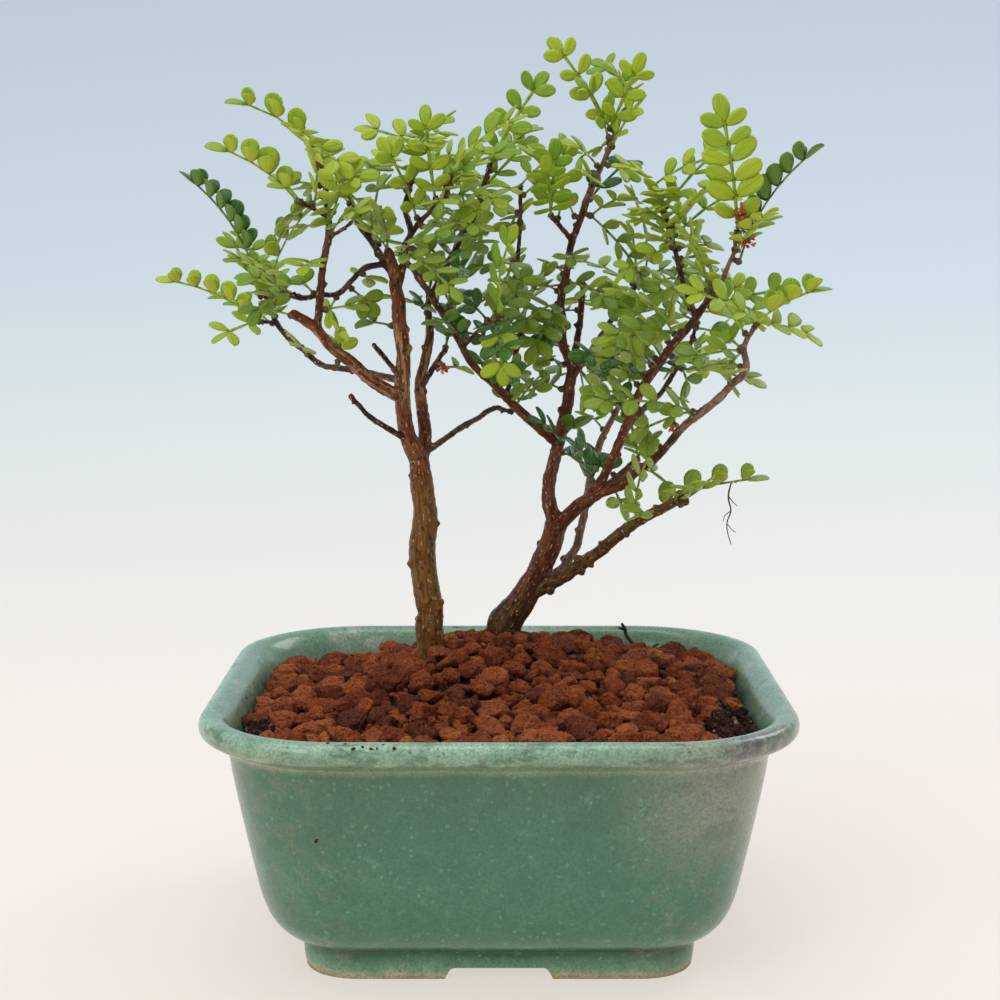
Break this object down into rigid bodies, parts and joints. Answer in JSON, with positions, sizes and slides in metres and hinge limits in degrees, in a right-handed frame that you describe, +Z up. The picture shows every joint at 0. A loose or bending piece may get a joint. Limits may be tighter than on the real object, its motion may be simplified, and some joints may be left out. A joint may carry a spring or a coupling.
{
  "type": "chinese pepper bonsai",
  "caption": "Broom-like two-stemmed bonsai with small pinnate leaves, planted in fired clay grains in a glazed rounded-rectangular pot that stands on four feet.",
  "frame": {"origin": "centre of the whole part's bounding box in plan, on the plane that the pot's feet stand on", "axes": "+X to the right of the pot's long side as seen from the front, +Y to the back, +Z up"},
  "size_m": [0.1508, 0.1198, 0.2],
  "materials": {
    "glaze": "glossy celadon glaze, paler on the lip and finely speckled",
    "clay_grains": "matt fired clay grains, reddish brown",
    "bark_olive": "fine bark, olive brown with pale spots",
    "bark_red": "fine bark, reddish brown with pale spots",
    "plastic_mesh": "black plastic net",
    "leaf_young": "thin young leaf, lime green",
    "leaf_mature": "thin leaf, mid green, slightly glossy",
    "leaf_dark": "thin older leaf, dark glossy green",
    "red_buds": "small orange-red flower buds"
  },
  "bodies": {
    "root": {"buds_far_left": "red_buds", "buds_fork": "red_buds", "buds_left_centre": "red_buds", "buds_low_right": "red_buds", "buds_right": "red_buds", "drain_mesh": "plastic_mesh", "leaves_back_low_tip": "leaf_mature", "leaves_back_right_tip": "leaf_mature", "leaves_back_riser_tip": "leaf_mature", "leaves_centre_left_fan": "leaf_young", "leaves_centre_left_tip": "leaf_young", "leaves_centre_lime": "leaf_young", "leaves_centre_low": "leaf_dark", "leaves_centre_mid": "leaf_mature", "leaves_centre_riser_mid": "leaf_mature", "leaves_centre_riser_tip": "leaf_young", "leaves_centre_tip": "leaf_young", "leaves_cross_small": "leaf_mature", "leaves_cross_tip": "leaf_mature", "leaves_cross_upper": "leaf_dark", "leaves_far_left_high": "leaf_dark", "leaves_far_left_inner": "leaf_mature", "leaves_far_left_low": "leaf_young", "leaves_far_right_dark": "leaf_dark", "leaves_fork_dark": "leaf_dark", "leaves_grey_tip": "leaf_mature", "leaves_leader_dark": "leaf_dark", "leaves_leader_high": "leaf_dark", "leaves_leader_knob": "leaf_mature", "leaves_leader_right": "leaf_mature", "leaves_leader_twig_tip": "leaf_young", "leaves_left_down_tip": "leaf_mature", "leaves_left_riser": "leaf_mature", "leaves_left_riser_back": "leaf_mature", "leaves_left_spur": "leaf_young", "leaves_left_top": "leaf_young", "leaves_left_upper": "leaf_young", "leaves_low_right": "leaf_mature", "leaves_right_back_tip": "leaf_mature", "leaves_right_end": "leaf_mature", "leaves_right_knee": "leaf_mature", "leaves_right_low_side": "leaf_dark", "leaves_right_mass_mid": "leaf_young", "leaves_right_mass_tip": "leaf_young", "leaves_right_side": "leaf_mature", "leaves_right_tip": "leaf_young", "leaves_right_under": "leaf_mature", "leaves_right_upright": "leaf_young", "leaves_stub_tip": "leaf_mature", "leaves_top": "leaf_young", "leaves_trunk_leader": "leaf_mature", "leaves_trunk_stub": "leaf_mature", "leaves_upper_left_tip": "leaf_young", "pot": "glaze", "soil": "clay_grains", "trunk_left": "bark_olive", "trunk_right": "bark_red"}
  },
  "joints": []
}
